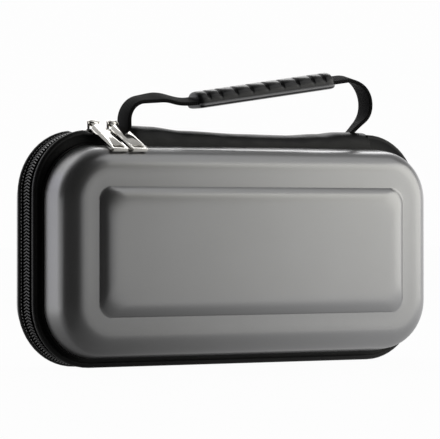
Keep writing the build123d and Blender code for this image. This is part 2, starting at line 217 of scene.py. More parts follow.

# %% [markdown]
# ## Nylon, thread, rubber and nickel
# The coil is extruded nylon, smooth enough to glint on each turn. The thread that sews the
# welts is a paler polyester. The grip is moulded rubber with a fine spark-eroded texture and a
# soft sheen, and an attribute marks a line along its lip where a highlight is painted pale
# grey. The sliders are zinc castings with bright nickel plating, which keeps the default IOR.

# %% Nylon, thread, rubber and nickel
nylon, tree, shader = new_material("black_nylon", Roughness=0.26, IOR=1.53)
place = add_node(tree, "ShaderNodeTexCoord", {}).outputs["Object"]
drawn = add_node(tree, "ShaderNodeTexNoise", {"Vector": place, "Scale": 1 / (0.6 * MM)})
tone = add_node(tree, "ShaderNodeMix", {
    "Factor": drawn.outputs["Fac"], "A": linear("#060606"), "B": linear("#101010")}, data_type="RGBA")
tree.links.new(tone.outputs["Result"], shader.inputs["Base Color"])
add_bump(tree, shader, drawn.outputs["Fac"], 0.03 * MM, 0.4)

thread_twist = 0.5 * MM


def thread(name, roughness, dark, light):
    """Twisted polyester thread between two tones."""
    material, tree, shader = new_material(name, Roughness=roughness, IOR=1.5)
    place = add_node(tree, "ShaderNodeTexCoord", {}).outputs["Object"]
    twist = add_node(tree, "ShaderNodeTexWave", {
        "Vector": place, "Scale": 1 / (2 * math.pi * thread_twist)}, bands_direction="DIAGONAL")
    tone = add_node(tree, "ShaderNodeMix", {
        "Factor": twist.outputs["Fac"], "A": linear(dark), "B": linear(light)}, data_type="RGBA")
    tree.links.new(tone.outputs["Result"], shader.inputs["Base Color"])
    return material


pale_thread = thread("grey_polyester_thread", 0.5, "#8c8c8c", "#c8c8c8")
dark_thread = thread("black_polyester_thread", 0.55, "#0a0a0a", "#1d1d1d")

rubber, tree, shader = new_material("moulded_rubber", IOR=1.52)
shader.inputs["Specular IOR Level"].default_value = 0.6
shader.inputs["Sheen Weight"].default_value = 0.25
shader.inputs["Sheen Roughness"].default_value = 0.4
# A highlight is painted pale grey along the grip's lip: where the attribute is 1, the base colour turns
# from black rubber to #a8a8ac.
rub_and_highlight = add_node(tree, "ShaderNodeAttribute", {}, attribute_name="rub_and_highlight")
tone = add_node(tree, "ShaderNodeMix", {
    "Factor": rub_and_highlight.outputs["Fac"], "A": linear("#131315"), "B": linear("#a8a8ac")}, data_type="RGBA")
tree.links.new(tone.outputs["Result"], shader.inputs["Base Color"])
place = add_node(tree, "ShaderNodeTexCoord", {}).outputs["Object"]
spark = add_node(tree, "ShaderNodeTexNoise", {"Vector": place, "Scale": 1 / (0.5 * MM), "Detail": 3.0})
gloss = add_node(tree, "ShaderNodeMapRange", {
    "Value": spark.outputs["Fac"], "To Min": 0.24, "To Max": 0.38})
tree.links.new(gloss.outputs["Result"], shader.inputs["Roughness"])
add_bump(tree, shader, spark.outputs["Fac"], 0.03 * MM, 0.5)

nickel, tree, shader = new_material("polished_nickel", Metallic=1.0)
shader.inputs["Base Color"].default_value = linear("#efece6")
place = add_node(tree, "ShaderNodeTexCoord", {}).outputs["Object"]
polish = add_node(tree, "ShaderNodeTexNoise", {"Vector": place, "Scale": 1 / (3 * MM), "Detail": 4.0})
gloss = add_node(tree, "ShaderNodeMapRange", {
    "Value": polish.outputs["Fac"], "To Min": 0.06, "To Max": 0.16})
tree.links.new(gloss.outputs["Result"], shader.inputs["Roughness"])
print("made", nylon.name, pale_thread.name, dark_thread.name, rubber.name, nickel.name)

# %% [markdown]
# ## Lining cloths
# Inside, the shells are lined with brushed tricot, a knit with a short soft nap. The pockets
# and straps are stretch cloth and elastic, and the lid has a net. They are all black, so the
# weave and the sheen tell them apart.

# %% Lining cloths
def cloth(name, dark, light, thread, depth, sheen, direction):
    """Black cloth with a thread spacing and the depth of its relief."""
    material, tree, shader = new_material(name, Roughness=0.9, IOR=1.45)
    shader.inputs["Sheen Weight"].default_value = sheen
    place = add_node(tree, "ShaderNodeTexCoord", {}).outputs["Object"]
    weave = add_node(tree, "ShaderNodeTexWave", {
        "Vector": place, "Scale": 1 / (2 * math.pi * thread), "Distortion": 1.5, "Detail": 2.0,
        "Detail Scale": 2.0}, bands_direction=direction)
    tone = add_node(tree, "ShaderNodeMix", {
        "Factor": weave.outputs["Fac"], "A": linear(dark), "B": linear(light)}, data_type="RGBA")
    tree.links.new(tone.outputs["Result"], shader.inputs["Base Color"])
    add_bump(tree, shader, weave.outputs["Fac"], depth, 0.6)
    return material


tricot = cloth("brushed_tricot", "#1e1e20", "#2e2e31", 0.9 * MM, 0.08 * MM, 0.5, "X")
stretch_cloth = cloth("stretch_cloth", "#171718", "#262628", 0.7 * MM, 0.06 * MM, 0.25, "DIAGONAL")
elastic = cloth("woven_elastic", "#0d0d0d", "#262626", 1.1 * MM, 0.15 * MM, 0.2, "Z")
net_yarn = cloth("polyester_net", "#161616", "#2a2a2a", 0.6 * MM, 0.05 * MM, 0.2, "DIAGONAL")
print("made", tricot.name, stretch_cloth.name, elastic.name, net_yarn.name)

# %% [markdown]
# ## Rings and stacks
# Nearly everything here follows the rounded outline of the case. A ring starts as one grid
# face whose corners are bevelled, which gives true quarter circles. A stack extrudes that
# ring again and again: each new ring keeps its place on the outline and takes a new width,
# height, corner and depth. So a shell, a welt or a binding is only a short list of rings.

# %% Rings and stacks
corner_steps = 14
side_cuts = 9


def rim_ring(inset, reach, side):
    """Ring on the rims' outline, shrunk by an inset, at a distance from the zip plane."""
    corner = max(rim_corner - inset, 3 * MM)
    return (rim_width - 2 * inset, rim_height - 2 * inset, corner, zip_y + side * reach, rim_z)


def band_ring(inset, reach, side):
    """The same on the outline of the zipper band."""
    return (band_width - 2 * inset, band_height - 2 * inset, band_corner - inset,
            zip_y + side * reach, band_z)


def start_ring(bm, ring):
    """Edges of a new ring: one face with bevelled corners and divided sides, then opened."""
    width, height, corner, y, z = ring
    quad = bmesh.ops.create_grid(bm, x_segments=1, y_segments=1, size=0.5)["verts"]
    bmesh.ops.scale(bm, vec=(width, height, 1), verts=quad)
    bmesh.ops.bevel(bm, geom=quad, offset=corner, offset_type="OFFSET", segments=corner_steps,
                    profile=0.5, affect="VERTICES", material=-1)
    sides = [e for e in bm.edges if e.calc_length() > corner]
    bmesh.ops.subdivide_edges(bm, edges=sides, cuts=side_cuts)
    bmesh.ops.rotate(bm, cent=(0, 0, 0), matrix=Matrix.Rotation(math.pi / 2, 3, "X"), verts=bm.verts)
    bmesh.ops.translate(bm, vec=(0, y, z), verts=bm.verts)
    bmesh.ops.delete(bm, geom=bm.faces[:], context="FACES_ONLY")
    return bm.edges[:]


def reshape(verts, old, new):
    """Moves the points of one ring to where they belong on another."""
    old_core = (old[0] / 2 - old[2], old[1] / 2 - old[2])
    new_core = (new[0] / 2 - new[2], new[1] / 2 - new[2])
    for vert in verts:
        x, z = vert.co.x, vert.co.z - old[4]
        core_x = max(-old_core[0], min(old_core[0], x))
        core_z = max(-old_core[1], min(old_core[1], z))
        out = Vector((x - core_x, 0, z - core_z)).normalized() * new[2]
        vert.co = (
            core_x / old_core[0] * new_core[0] + out.x,
            new[3],
            core_z / old_core[1] * new_core[1] + out.z + new[4],
        )


def grow(bm, edges):
    """Extrudes a row of edges. Returns the new row and its points."""
    made = bmesh.ops.extrude_edge_only(bm, edges=edges)["geom"]
    verts = [g for g in made if isinstance(g, bmesh.types.BMVert)]
    new = set(verts)
    row = [g for g in made if isinstance(g, bmesh.types.BMEdge) and set(g.verts) <= new]
    return row, verts


def stack(rings, close):
    """New bmesh through a list of rings. Its ends are capped, or joined to each other."""
    bm = bmesh.new()
    first = start_ring(bm, rings[0])
    row = first
    for old, new in zip(rings, rings[1:]):
        row, verts = grow(bm, row)
        reshape(verts, old, new)
    if close == "caps":
        for end in (first, row):
            bmesh.ops.contextual_create(bm, geom=end)
    else:
        bmesh.ops.bridge_loops(bm, edges=first + row)
    bmesh.ops.recalc_face_normals(bm, faces=bm.faces[:])
    return bm


def arc(centre, radius, start, end, steps):
    """Points (inset, reach) on an arc, with angles in degrees from the inset axis."""
    angles = [math.radians(start + (end - start) * i / steps) for i in range(steps + 1)]
    return [(centre[0] + radius * math.cos(a), centre[1] + radius * math.sin(a)) for a in angles]


def finish_piece(bm, name, body, slot, *materials, replaces=(), sharp=38):
    """Makes an object of a bmesh, with smooth faces and sharp edges, and puts it on its body."""
    for face in bm.faces:
        face.smooth = True
    for edge in bm.edges:
        edge.smooth = edge.calc_face_angle(0) < math.radians(sharp)
    mesh = bpy.data.meshes.new(name)
    bm.to_mesh(mesh)
    bm.free()
    piece = bpy.data.objects.new(name, mesh)
    bpy.context.scene.collection.objects.link(piece)
    for material in materials:
        mesh.materials.append(material)
    if body:
        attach(piece, body)
    if replaces:
        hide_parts(*replaces)
    print(f"made {name}: {len(mesh.polygons)} faces")
    return piece


print("a ring has", 4 * (corner_steps + side_cuts + 1), "points")

# %% [markdown]
# ## Formed shells
# Each shell is a dish with drafted walls and a big soft shoulder. The profile is walked from
# the middle of the lining, out over the rim and up the outside to the middle of the face, so
# one stack gives a closed wall with true thickness. The faces before the rim get the lining.
# The raised panel on the front continues the same walk: a crisp crease, a short slope and a
# long soft crown, whose corners grow rounder on the way in.

# %% Formed shells
shoulder_round = 12 * MM
shoulder_steps = 12
rim_round = 0.5 * MM
face_margin = 3 * MM


def dish(depth, draft, inset):
    """Profile of a drafted dish from its rim to its flat face, as (inset, depth) points."""
    radius = shoulder_round - inset
    slope = math.radians(draft)
    reach = (depth - inset) * math.tan(slope) + radius * math.tan(math.radians(90 - draft) / 2)
    turn = arc((inset + reach, depth - inset - radius), radius, 180 - draft, 90, shoulder_steps)
    return [(inset, 0)] + turn


def rim_rings(points, side):
    """Rings on the rim's outline for (inset, depth) points."""
    return [rim_ring(inset, rim_reach + depth, side) for inset, depth in points]


def shell(name, side, body, depth, draft, extra_rings):
    """Closed shell: lining, rim and outside, with extra rings on its face."""
    inside = dish(depth, draft, shell_wall)
    outside = dish(depth, draft, 0)
    inner = [(inside[-1][0] + face_margin, inside[-1][1])] + inside[::-1]
    inner[-1] = (shell_wall, rim_round)
    edge = [(shell_wall - rim_round, 0), (rim_round, 0), (0, rim_round)]
    outer = outside[1:] + [(outside[-1][0] + face_margin, outside[-1][1])]
    rings = rim_rings(inner + edge + outer, side) + extra_rings
    bm = stack(rings, "caps")
    floor_depth = depth - shell_wall
    for face in bm.faces:
        centre = face.calc_center_median()
        reach = (centre.y - zip_y) * side - rim_reach
        if reach < floor_depth + MM / 2 and face.normal.y * side < 0.02 and reach > rim_round / 2:
            face.material_index = 1
    return finish_piece(bm, name + "_form", body, "shell_skin", pearl_pu, tricot, replaces=[name])


front_draft, rear_draft = 8, 6
front_depth = 22 * MM
rear_depth = rear_high.y - rear_low.y
panel_size = (202.4 * MM, 71.7 * MM, 9 * MM)
panel_rise = front_high.y - front_low.y - front_depth
crown_reach = 15 * MM
crown_steps = 18
crown_power, corner_growth = 5.5, 0.25
panel_walk = [(-0.6 * MM, 0), (0, 0.03 * MM)]
for step in range(1, crown_steps + 1):
    along = step / crown_steps
    panel_walk.append((crown_reach * along, panel_rise * (1 - (1 - along) ** crown_power)))
panel_walk.append((crown_reach + face_margin, panel_rise))
panel_rings = [
    (panel_size[0] - 2 * inset, panel_size[1] - 2 * inset,
     panel_size[2] + max(inset, 0) * corner_growth, zip_y - rim_reach - front_depth - rise, rim_z)
    for inset, rise in panel_walk
]
shell("front_shell", FRONT, "front_lid", front_depth, front_draft, panel_rings)
shell("rear_shell", REAR, "rear_case", rear_depth, rear_draft, [])

# %% [markdown]
# ## Edge bindings
# A strip of PU cloth is folded round each rim and sewn, which hides the raw edge of the
# foam. Its section is a flat U with soft corners, so the ring is closed on itself.

# %% Edge bindings
binding_width = 6.2 * MM
binding_stand = 0.8 * MM
fold_soft = 0.7 * MM
cloth_gap = 0.05 * MM


def binding(name, side, body):
    """Folded strip round one rim."""
    near, far = rim_reach - binding_width, rim_reach - cloth_gap
    outer, inner = -binding_stand, shell_wall
    walk = [(outer, far), (outer, near + fold_soft)]
    walk += arc((outer + fold_soft, near + fold_soft), fold_soft, 180, 270, 4)[1:]
    walk += arc((inner - fold_soft, near + fold_soft), fold_soft, 270, 360, 4)
    walk += [(inner, far)]
    bm = stack([rim_ring(inset, reach, side) for inset, reach in walk], "loop")
    return finish_piece(bm, name + "_strip", body, "black_skin", black_pu, replaces=[name])


binding("front_binding", FRONT, "front_lid")
binding("rear_binding", REAR, "rear_case")

# %% [markdown]
# ## Welts
# A cord covered with PU cloth stands on each side of the zipper. Its section is most of a
# circle on a narrower neck, which is what makes piping catch a thin line of light. The top
# of the ring is cut away for the spine, and beside the sliders the welt is pressed flat, so
# that the pull tabs can lie over it.

# %% Welts
welt_reach = 8.3 * MM
welt_radius = 1.9 * MM
spine_left, spine_right = spine_low.x, spine_high.x
run_left = rim_corner - rim_width / 2
run_right = spine_right + 1.0 * MM
stub_right = spine_left - 0.3 * MM
top_line = rim_z + rim_height / 4
welt_flat = 2.6 * MM
welt_foot = 124.2 * MM
press_run = 8 * MM
neck_angle, cord_steps = 50, 18


def open_top(bm, left, right, cuts=()):
    """Cuts the top of a closed ring between two places and caps the ends."""
    for x in (left, right, *cuts):
        top = [f for f in bm.faces if f.calc_center_median().z > top_line]
        around = {g for f in top for g in (*f.edges, *f.verts)}
        bmesh.ops.bisect_plane(bm, geom=top + list(around), plane_co=(x, 0, 0), plane_no=(1, 0, 0))
    spare = [f for f in bm.faces if f.calc_center_median().z > top_line
             and left < f.calc_center_median().x < right]
    bmesh.ops.delete(bm, geom=spare, context="FACES")
    bmesh.ops.holes_fill(bm, edges=[e for e in bm.edges if e.is_boundary])
    bmesh.ops.recalc_face_normals(bm, faces=bm.faces[:])


def ease(value):
    """Smooth step from 0 to 1."""
    t = max(0.0, min(1.0, value))
    return t * t * (3 - 2 * t)


def press_flat(bm):
    """Presses the top left of a welt, and what is sewn to it, flat beside the sliders."""
    for vert in bm.verts:
        if vert.co.z > welt_foot and vert.co.x < 0:
            pressed = ease((vert.co.x - run_left) / press_run + 0.5)
            share = (vert.co.z - welt_foot) / (band_high.z - welt_foot)
            vert.co.z -= welt_flat * pressed * share


def welt(name, side, body):
    """Piping with its flattened end."""
    neck = welt_radius * math.sin(math.radians(neck_angle))
    cord = arc((welt_radius, welt_reach), welt_radius, -neck_angle, neck_angle - 360, cord_steps)
    rings = [rim_ring(-binding_stand - cloth_gap, welt_reach - neck, side)]
    rings += [band_ring(inset, reach, side) for inset, reach in cord]
    rings += [rim_ring(-binding_stand - cloth_gap, welt_reach + neck, side)]
    bm = stack(rings, "loop")
    open_top(bm, stub_right, run_right, [run_left + i * MM for i in (1.5, 3, 4.5, 6)])
    press_flat(bm)
    return finish_piece(bm, name + "_cord", body, "black_skin", black_pu, replaces=[name])


welt("front_welt", FRONT, "front_lid")
welt("rear_welt", REAR, "rear_case")

# %% [markdown]
# ## Zipper
# The tape is a flat ring. On it lies the nylon coil: each turn is a small slanted bar, and
# the two rows of bars lean towards each other, which gives the chevrons of a closed zipper.
# The bars are copies of one small shape, placed by walking round the band. So are the pale
# stitches on the flank of each welt, which sew it to the tape.

# %% Zipper tapes
tape_inset = 3.3 * MM
tape_thickness = 0.8 * MM
tape_near = 0.4 * MM
tape_far = 7.0 * MM
stub_depth = 5.6 * MM


def tape(name, side, body, left):
    """Woven tape on one side of the zip plane."""
    walk = [(0, tape_far), (0, tape_near), (tape_thickness, tape_near), (tape_thickness, tape_far)]
    bm = stack([band_ring(tape_inset + down, reach, side) for down, reach in walk], "loop")
    open_top(bm, left, run_right)
    if side == FRONT:
        stub = bmesh.ops.create_cube(bm, size=1)["verts"]
        size = Vector((left - run_left, stub_depth, tape_thickness))
        bmesh.ops.scale(bm, vec=size, verts=stub)
        bmesh.ops.translate(bm, verts=stub, vec=(
            (left + run_left) / 2, zip_y + size.y / 2 + tape_near,
            band_high.z - tape_inset - tape_thickness / 2))
    return finish_piece(bm, name + "_weave", body, "zip_tape", tape_twill, replaces=[name])


tape("front_zip_tape", FRONT, "front_lid", stub_right)
tape("rear_zip_tape", REAR, "rear_case", run_left - 0.3 * MM)

# %% Walking round the band
def walk_path(start, heading, legs, step):
    """Yields places and headings along legs (length, radius), where a radius turns left."""
    place, heading = Vector(start), Vector(heading)
    left_over = 0.0
    for length, radius in legs:
        along = left_over
        while along < length:
            if radius:
                turn = Matrix.Rotation(along / radius, 2)
                centre = place + Vector((-heading.y, heading.x)) * radius
                yield centre + turn @ (place - centre), turn @ heading
            else:
                yield place + heading * along, heading
            along += step
        left_over = along - length
        if radius:
            turn = Matrix.Rotation(length / radius, 2)
            centre = place + Vector((-heading.y, heading.x)) * radius
            place, heading = centre + turn @ (place - centre), turn @ heading
        else:
            place = place + heading * length


def band_walk(inset, left, step):
    """Frames round the band from a place at the top left: X goes along, Y across, Z outwards."""
    corner = band_corner - inset
    quarter = (math.pi / 2 * corner, corner)
    across, up = band_width - 2 * band_corner, band_height - 2 * band_corner
    legs = [(left + across / 2, 0), quarter, (up, 0), quarter, (across, 0), quarter, (up, 0), quarter,
            (run_right - across / 2, 0)]
    start = (left, band_high.z - inset)
    for place, heading in walk_path(start, (-1, 0), legs, step):
        out = Vector((heading.y, 0, -heading.x))
        ahead = Vector((heading.x, 0, heading.y))
        turn = Matrix((ahead, out.cross(ahead), out)).transposed().to_4x4()
        yield Matrix.Translation((place.x, zip_y, place.y)) @ turn


def place_copies(bm, shape, frames):
    """Adds a copy of a small mesh at each frame."""
    for matrix in frames:
        have = len(bm.verts)
        bm.from_mesh(shape)
        bm.verts.ensure_lookup_table()
        bmesh.ops.transform(bm, matrix=matrix, verts=bm.verts[have:])


def small_shape(name, bm):
    """Mesh of a small shape that is copied many times."""
    mesh = bpy.data.meshes.new(name)
    bm.to_mesh(mesh)
    bm.free()
    return mesh


print("the zipper is", round(len(list(band_walk(0, stub_right, MM)))), "mm long")

# %% Coil
coil_pitch = 1.8 * MM
coil_top = 0.9 * MM
turn_width = 0.95 * MM
turn_height = 1.9 * MM
turn_outer = 3.15 * MM
turn_inner = 0.45 * MM
turn_lean = 1.1 * MM
turn_round = 0.4 * MM
rear_left = run_left - 0.5 * MM


def coil_turn(side):
    """One slanted bar of the coil, rounded along its length, from the tape's edge past the middle."""
    bm = bmesh.new()
    bar = bmesh.ops.create_cube(bm, size=1)["verts"]
    bmesh.ops.scale(bm, vec=(turn_width, turn_outer + turn_inner, turn_height), verts=bar)
    bmesh.ops.translate(bm, vec=(0, side * (turn_outer - turn_inner) / 2, -turn_height / 2), verts=bar)
    long_edges = [e for e in bm.edges if abs((e.verts[0].co - e.verts[1].co).y) > turn_outer]
    bmesh.ops.bevel(bm, geom=long_edges, offset=turn_round, offset_type="OFFSET", segments=2, profile=0.5,
                    affect="EDGES", material=-1)
    for vert in bm.verts:
        vert.co.x += turn_lean * (vert.co.y * side) / turn_outer
    for face in bm.faces:
        face.smooth = True
    return small_shape("coil_turn", bm)


def coil(name, side, body, left, phase):
    """Row of turns on one side of the zipper."""
    bm = bmesh.new()
    place_copies(bm, coil_turn(-side), band_walk(coil_top, left - phase, coil_pitch))
    if side == FRONT:
        stub = [m for m in band_walk(coil_top, left, coil_pitch) if m.translation.x > run_left][1:]
        stub = [m for m in stub if m.translation.z > top_line]
        place_copies(bm, coil_turn(side), stub)
    return finish_piece(bm, name + "_turns", body, "zip_coil", nylon, replaces=[name], sharp=60)


coil("front_coil", FRONT, "front_lid", stub_right, 0)
coil("rear_coil", REAR, "rear_case", rear_left, coil_pitch / 2)

# %% Welt stitches
stitch_pitch = 1.9 * MM
stitch_size = Vector((1.25, 0.65, 0.65)) * MM
stitch_reach, stitch_inset = 6.5 * MM, 1.25 * MM


def stitch(size):
    """One stitch: a small long bead."""
    bm = bmesh.new()
    bead = bmesh.ops.create_uvsphere(bm, u_segments=8, v_segments=5, radius=0.5)["verts"]
    bmesh.ops.rotate(bm, cent=(0, 0, 0), matrix=Matrix.Rotation(math.pi / 2, 3, "Y"), verts=bead)
    bmesh.ops.scale(bm, vec=size, verts=bead)
    return small_shape("stitch", bm)


welt_stitch = stitch(stitch_size)
for name, side, body, left in (("front", FRONT, "front_lid", stub_right),
                               ("rear", REAR, "rear_case", rear_left)):
    bm = bmesh.new()
    offset = Matrix.Translation((0, side * stitch_reach, 0))
    place_copies(bm, welt_stitch, [offset @ m for m in band_walk(stitch_inset, left, stitch_pitch)])
    press_flat(bm)
    finish_piece(bm, name + "_tape_stitches", body, "zip_tape", pale_thread)

# %% [markdown]
# ## Spine
# The spine is one padded piece of PU cloth that arches from rim to rim. When the case opens
# it folds along both of its edges, so it is made as two halves that meet on its ridge: each
# half runs from the rim of its shell at the foot to the ridge, and arches between them.
# Neither half is put on a body. The cloth starts as a flat grid, and each point is moved to
# its place on the arch. The ridge is high at both ends, where the handle pulls on it, and sags
# between them.

# %% Spine
spine_reach = 11.9 * MM
spine_foot = 123.6 * MM
ridge_points = [(-68, 133.6), (-62, 134.6), (-52, 134.3), (-30, 132.3), (10, 131.0), (40, 130.7),
                (62, 131.8), (76, 133.1), (86, 133.2), (94, 132.9)]
spine_steps = (120, 16)
end_round = 5 * MM
end_lap = 1.6 * MM
end_drop, end_narrow = 0.28, 1.2 * MM
crease_length, crease_depth, crease_across, crease_seed = 9 * MM, 0.35 * MM, 1.4, 7.0
arch_across, arch_up = 0.75, 0.8
cloth_thickness = 1.0 * MM


def ridge(x):
    """Height of the spine's ridge along the case."""
    points = [(px * MM, pz * MM) for px, pz in ridge_points]
    for (x0, z0), (x1, z1) in zip(points, points[1:]):
        if x <= x1:
            return z0 + (z1 - z0) * ease((x - x0) / (x1 - x0))
    return points[-1][1]


def spine_half(name, side):
    """Half of the spine's cloth, from the foot at one rim to the ridge."""
    bm = bmesh.new()
    bmesh.ops.create_grid(bm, x_segments=spine_steps[0], y_segments=spine_steps[1], size=1)
    for vert in bm.verts:
        x = spine_left + (vert.co.x + 1) / 2 * (spine_right + end_lap - spine_left)
        rise = (vert.co.y + 1) / 2 * math.pi / 2
        tuck = math.sqrt(max(0.0, 1 - (1 - min((x - spine_left) / end_round, 1)) ** 2))
        top = spine_foot + (ridge(x) - spine_foot) * (1 - end_drop * (1 - tuck))
        wave = noise.noise(Vector((x / crease_length, vert.co.y * crease_across, crease_seed * side)))
        crease = crease_depth * wave * math.sin(2 * rise)
        y = (spine_reach - (1 - tuck) * end_narrow) * math.cos(rise) ** arch_across
        z = spine_foot + (top - spine_foot) * math.sin(rise) ** arch_up
        vert.co = (x, zip_y + side * (y + crease), z)
    bmesh.ops.recalc_face_normals(bm, faces=bm.faces[:])
    if bm.faces[:][0].normal.y * side < 0:
        bmesh.ops.reverse_faces(bm, faces=bm.faces[:])
    bmesh.ops.solidify(bm, geom=bm.faces[:], thickness=cloth_thickness)
    piece = finish_piece(bm, name, None, "black_skin", black_pu, replaces=["spine_strip"], sharp=60)
    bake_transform(piece)
    return piece


spine_half("spine_front_cloth", FRONT)
spine_half("spine_rear_cloth", REAR)

# %% [markdown]
# ## Handle strap
# The handle is flat webbing, held by its feet in the spine. Its route is straight runs and
# bends, walked with the same function as the band. A small rounded section is extruded from
# place to place along the route. The top run rolls a little towards the front, most of all in
# the dip before the grip. Each point remembers how far along it lies, and that becomes the UV
# map that the ribs of the weave follow.

# %% Handle strap
strap_width = 13 * MM
strap_thickness = 2.2 * MM
strap_edge = 0.8 * MM
strap_points = [Vector(p) * MM for p in (
    (-65.6, 127.0), (-66.0, 147.9), (-42.0, 151.2), (-28.1, 148.2), (99.0, 166.9), (98.2, 143.0),
    (80.6, 127.0))]
strap_bends = [r * MM for r in (12, 25, 40, 15, 13)]
strap_step = 1.5 * MM
strap_roll, dip_roll = math.radians(13), math.radians(7)
roll_start, roll_end, roll_ease = -68 * MM, 101 * MM, 14 * MM
dip_start, dip_end = -58 * MM, -22 * MM


def rounded_legs(points, bends):
    """Legs (length, radius) of a route with its corners rounded. A right turn has a negative radius."""
    legs, used = [], 0.0
    for before, corner, after, bend in zip(points, points[1:], points[2:], bends):
        turn = (corner - before).angle_signed(after - corner)
        tangent = bend * math.tan(abs(turn) / 2)
        legs.append(((corner - before).length - used - tangent, 0))
        legs.append((bend * abs(turn), math.copysign(bend, -turn)))
        used = tangent
    return legs + [((points[-1] - points[-2]).length - used, 0)]


def between(x, start, end):
    """Smooth weight: 1 between two places along the case and 0 past them."""
    return ease((x - start) / roll_ease) * ease((end - x) / roll_ease)


def route_frames(points, bends, step):
    """Frames along a route in the zip plane: X goes along, Y across and Z up."""
    heading = (points[1] - points[0]).normalized()
    for place, ahead in walk_path(points[0], heading, rounded_legs(points, bends), step):
        forward = Vector((ahead.x, 0, ahead.y))
        across = Vector((0, 1, 0))
        turn = Matrix((forward, across, forward.cross(across))).transposed().to_4x4()
        roll = strap_roll * between(place.x, roll_start, roll_end)
        roll += dip_roll * between(place.x, dip_start, dip_end)
        turn = turn @ Matrix.Rotation(roll, 4, "X")
        yield Matrix.Translation((place.x, zip_y, place.y)) @ turn


def sweep(bm, row, frames, step, along):
    """Extrudes a section from frame to frame and notes the distance in a layer."""
    frames = list(frames)
    first = row
    bmesh.ops.transform(bm, matrix=frames[0], verts=list({v for e in row for v in e.verts}))
    for number, (old, new) in enumerate(zip(frames, frames[1:]), 1):
        row, verts = grow(bm, row)
        bmesh.ops.transform(bm, matrix=new @ old.inverted(), verts=verts)
        for vert in verts:
            vert[along] = number * step
    for end in (first, row):
        bmesh.ops.contextual_create(bm, geom=end)
    bmesh.ops.recalc_face_normals(bm, faces=bm.faces[:])


def section(bm, width, height, corner):
    """Rounded rectangle across the X axis, as a row of edges."""
    quad = bmesh.ops.create_grid(bm, x_segments=1, y_segments=1, size=0.5)["verts"]
    bmesh.ops.scale(bm, vec=(height, width, 1), verts=quad)
    bmesh.ops.bevel(bm, geom=quad, offset=corner, offset_type="OFFSET", segments=3, profile=0.5,
                    affect="VERTICES", material=-1)
    bmesh.ops.rotate(bm, cent=(0, 0, 0), matrix=Matrix.Rotation(math.pi / 2, 3, "Y"), verts=bm.verts)
    bmesh.ops.delete(bm, geom=bm.faces[:], context="FACES_ONLY")
    return bm.edges[:]


bm = bmesh.new()
along = bm.verts.layers.float.new("along")
row = section(bm, strap_width, strap_thickness, strap_edge)
sweep(bm, row, route_frames(strap_points, strap_bends, strap_step), strap_step, along)
weave = bm.loops.layers.uv.new("weave")
for face in bm.faces:
    for loop in face.loops:
        loop[weave].uv = (loop.vert[along], loop.vert.co.y - zip_y)
finish_piece(bm, "handle_webbing", "spine", "webbing", webbing, replaces=["handle_strap"], sharp=50)

# %% [markdown]
# ## Grip
# A moulded rubber sleeve is closed round the straight run of the strap. Its top is arched
# and cut by nine grooves, and a plain lip runs underneath, with a highlight painted pale along
# its edge. The section is a circle of points moved to that outline, extruded along the run,
# with stations set close together in the grooves and at the rounded ends.

# %% Grip
grip_start, grip_length = 7.7 * MM, 93 * MM
grip_half, lip_half = 7.7 * MM, 8.6 * MM
grip_top, grip_shoulder, grip_bottom = 5.2 * MM, -1.6 * MM, -4.4 * MM
inner_grooves, groove_pitch, end_groove, groove_depth = 3, 10.6 * MM, 39.8 * MM, 1.4 * MM
groove_low = 0.25
# The last two give the band of the section, by the sine of its angle, where a highlight is painted along
# the lip.
lip_step, lip_highlight_low, lip_highlight_high = 0.25 * MM, -0.2, -0.1
arch_powers, lip_powers = (0.9, 0.85), (0.45, 0.6)
groove_walk = [(-1.5, 0), (-1.0, 0.12), (-0.7, 0.6), (-0.35, 0.95), (0, 1), (0.35, 0.95), (0.7, 0.6),
               (1.0, 0.12), (1.5, 0)]
section_points = 40


def grip_outline(angle):
    """Point of the grip's section at an angle: an arch above the shoulder, a lip below it."""
    c, s = math.cos(angle), math.sin(angle)
    if s >= 0:
        return (grip_half * math.copysign(abs(c) ** arch_powers[0], c),
                grip_shoulder + (grip_top - grip_shoulder) * s ** arch_powers[1])
    return (lip_half * math.copysign(abs(c) ** lip_powers[0], c),
            grip_shoulder - lip_step + (grip_bottom - grip_shoulder) * abs(s) ** lip_powers[1])


places = [i * groove_pitch for i in range(-inner_grooves, inner_grooves + 1)]
middle = [grip_length / 2 + place for place in (-end_groove, *places, end_groove)]
stations = [(m + d * MM, depth, 0.0) for m in middle for d, depth in groove_walk]
ends = [(0.0, 0.55), (0.25, 0.3), (0.8, 0.12), (1.6, 0.03), (2.8, 0.0)]
stations += [(d * MM, 0, pinch) for d, pinch in ends]
stations += [(grip_length - d * MM, 0, pinch) for d, pinch in ends]
run_start, run_end = strap_points[3], strap_points[4]
forward = (run_end - run_start).normalized()
turn = Matrix(((forward.x, 0, -forward.y), (0, 1, 0), (forward.y, 0, forward.x))).to_4x4()

bm = bmesh.new()
rub_and_highlight = bm.verts.layers.float.new("rub_and_highlight")
circle = bmesh.ops.create_circle(bm, segments=section_points, radius=1)["verts"]
row = first = bm.edges[:]
rows = [circle]
for number in range(len(stations) - 1):
    row, verts = grow(bm, row)
    rows.append(verts)
for (distance, depth, pinch), verts in zip(sorted(stations), rows):
    for vert in verts:
        angle = math.atan2(vert.co.y, vert.co.x)
        y, z = grip_outline(angle)
        upper = ease((math.sin(angle) - groove_low) * 3)
        # Points in that band get the painted highlight.
        vert[rub_and_highlight] = 1.0 if lip_highlight_low < math.sin(angle) < lip_highlight_high else 0.0
        scale = 1 - upper * depth * groove_depth / grip_top - pinch * 0.5
        vert.co = (distance, y * scale, z * scale)
for end in (first, row):
    bmesh.ops.contextual_create(bm, geom=end)
bmesh.ops.recalc_face_normals(bm, faces=bm.faces[:])
grip_place = run_start + forward * grip_start
grip_matrix = Matrix.Translation((grip_place.x, zip_y, grip_place.y)) @ turn
bmesh.ops.transform(bm, matrix=grip_matrix, verts=bm.verts)
